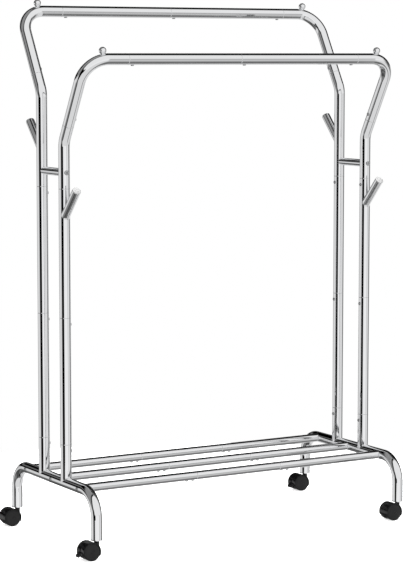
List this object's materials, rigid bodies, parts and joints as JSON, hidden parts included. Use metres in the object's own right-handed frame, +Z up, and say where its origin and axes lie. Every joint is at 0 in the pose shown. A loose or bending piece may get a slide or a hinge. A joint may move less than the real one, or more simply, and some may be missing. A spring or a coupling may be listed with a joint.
{
  "type": "rolling clothes rack",
  "caption": "Freestanding chromed tube rack on swivel casters with a low and a high hanging rail, side coat hooks and an open bar shelf near the floor.",
  "frame": {"origin": "on the floor, under the middle of the rack's overall box", "axes": "+Z up, X along the rails, -Y towards the low rail, casters trailing towards -X"},
  "size_m": [1.0874, 0.5522, 1.5334],
  "materials": {
    "chrome": "polished",
    "steel": "bright drawn",
    "black_plastic": "moulded gloss",
    "wheel_plastic": "satin moulded"
  },
  "bodies": {
    "rack_frame": {"foot_frame_left": "chrome", "lower_upright_front_left": "chrome", "middle_upright_front_left": "chrome", "upper_upright_front_left": "chrome", "corner_tube_front_left": "chrome", "ball_finial_front_left": "chrome", "lower_upright_rear_left": "chrome", "middle_upright_rear_left": "chrome", "upper_upright_rear_left": "chrome", "corner_tube_rear_left": "chrome", "ball_finial_rear_left": "chrome", "foot_frame_right": "chrome", "lower_upright_front_right": "chrome", "middle_upright_front_right": "chrome", "upper_upright_front_right": "chrome", "corner_tube_front_right": "chrome", "ball_finial_front_right": "chrome", "lower_upright_rear_right": "chrome", "middle_upright_rear_right": "chrome", "upper_upright_rear_right": "chrome", "corner_tube_rear_right": "chrome", "ball_finial_rear_right": "chrome", "rail_front_left": "chrome", "rail_front_right": "chrome", "rail_rear_left": "chrome", "rail_rear_right": "chrome", "shelf_bar_front_left": "chrome", "shelf_bar_front_middle": "chrome", "shelf_bar_front_right": "chrome", "shelf_bar_centre_left": "chrome", "shelf_bar_centre_middle": "chrome", "shelf_bar_centre_right": "chrome", "shelf_bar_rear_left": "chrome", "shelf_bar_rear_middle": "chrome", "shelf_bar_rear_right": "chrome", "crossbar_left": "chrome", "caster_stem_front_left": "steel", "caster_stem_rear_left": "steel", "crossbar_right": "chrome", "caster_stem_front_right": "steel", "caster_stem_rear_right": "steel"},
    "caster_front_left": {"caster_hood_front_left": "black_plastic", "caster_axle_front_left": "steel"},
    "wheel_front_left_near": {"caster_wheel_front_left_near": "wheel_plastic"},
    "wheel_front_left_far": {"caster_wheel_front_left_far": "wheel_plastic"},
    "brake_lever_front_left": {"brake_lever_front_left": "black_plastic"},
    "caster_rear_left": {"caster_hood_rear_left": "black_plastic", "caster_axle_rear_left": "steel"},
    "wheel_rear_left_near": {"caster_wheel_rear_left_near": "wheel_plastic"},
    "wheel_rear_left_far": {"caster_wheel_rear_left_far": "wheel_plastic"},
    "caster_front_right": {"caster_hood_front_right": "black_plastic", "caster_axle_front_right": "steel"},
    "wheel_front_right_near": {"caster_wheel_front_right_near": "wheel_plastic"},
    "wheel_front_right_far": {"caster_wheel_front_right_far": "wheel_plastic"},
    "caster_rear_right": {"caster_hood_rear_right": "black_plastic", "caster_axle_rear_right": "steel"},
    "wheel_rear_right_near": {"caster_wheel_rear_right_near": "wheel_plastic"},
    "wheel_rear_right_far": {"caster_wheel_rear_right_far": "wheel_plastic"},
    "brake_lever_rear_right": {"brake_lever_rear_right": "black_plastic"}
  },
  "joints": [
    {"name": "caster_front_left_swivel", "type": "hinge", "parent": "rack_frame", "child": "caster_front_left", "pos_m": [-0.48234, -0.2515, 0.045], "axis": [0, 0, 1], "continuous": true},
    {"name": "wheel_front_left_near_spin", "type": "hinge", "parent": "caster_front_left", "child": "wheel_front_left_near", "pos_m": [-0.50634, -0.2515, 0.025], "axis": [0, 1, 0], "continuous": true},
    {"name": "wheel_front_left_far_spin", "type": "hinge", "parent": "caster_front_left", "child": "wheel_front_left_far", "pos_m": [-0.50634, -0.2515, 0.025], "axis": [0, 1, 0], "continuous": true},
    {"name": "brake_lever_front_left_lift", "type": "hinge", "parent": "caster_front_left", "child": "brake_lever_front_left", "pos_m": [-0.52306, -0.2515, 0.027], "axis": [0, 1, 0], "range_deg": [0, 24]},
    {"name": "caster_rear_left_swivel", "type": "hinge", "parent": "rack_frame", "child": "caster_rear_left", "pos_m": [-0.48234, 0.2515, 0.045], "axis": [0, 0, 1], "continuous": true},
    {"name": "wheel_rear_left_near_spin", "type": "hinge", "parent": "caster_rear_left", "child": "wheel_rear_left_near", "pos_m": [-0.50634, 0.2515, 0.025], "axis": [0, 1, 0], "continuous": true},
    {"name": "wheel_rear_left_far_spin", "type": "hinge", "parent": "caster_rear_left", "child": "wheel_rear_left_far", "pos_m": [-0.50634, 0.2515, 0.025], "axis": [0, 1, 0], "continuous": true},
    {"name": "caster_front_right_swivel", "type": "hinge", "parent": "rack_frame", "child": "caster_front_right", "pos_m": [0.52766, -0.2515, 0.045], "axis": [0, 0, 1], "continuous": true},
    {"name": "wheel_front_right_near_spin", "type": "hinge", "parent": "caster_front_right", "child": "wheel_front_right_near", "pos_m": [0.50366, -0.2515, 0.025], "axis": [0, 1, 0], "continuous": true},
    {"name": "wheel_front_right_far_spin", "type": "hinge", "parent": "caster_front_right", "child": "wheel_front_right_far", "pos_m": [0.50366, -0.2515, 0.025], "axis": [0, 1, 0], "continuous": true},
    {"name": "caster_rear_right_swivel", "type": "hinge", "parent": "rack_frame", "child": "caster_rear_right", "pos_m": [0.52766, 0.2515, 0.045], "axis": [0, 0, 1], "continuous": true},
    {"name": "wheel_rear_right_near_spin", "type": "hinge", "parent": "caster_rear_right", "child": "wheel_rear_right_near", "pos_m": [0.50366, 0.2515, 0.025], "axis": [0, 1, 0], "continuous": true},
    {"name": "wheel_rear_right_far_spin", "type": "hinge", "parent": "caster_rear_right", "child": "wheel_rear_right_far", "pos_m": [0.50366, 0.2515, 0.025], "axis": [0, 1, 0], "continuous": true},
    {"name": "brake_lever_rear_right_lift", "type": "hinge", "parent": "caster_rear_right", "child": "brake_lever_rear_right", "pos_m": [0.48694, 0.2515, 0.027], "axis": [0, 1, 0], "range_deg": [0, 24]}
  ]
}
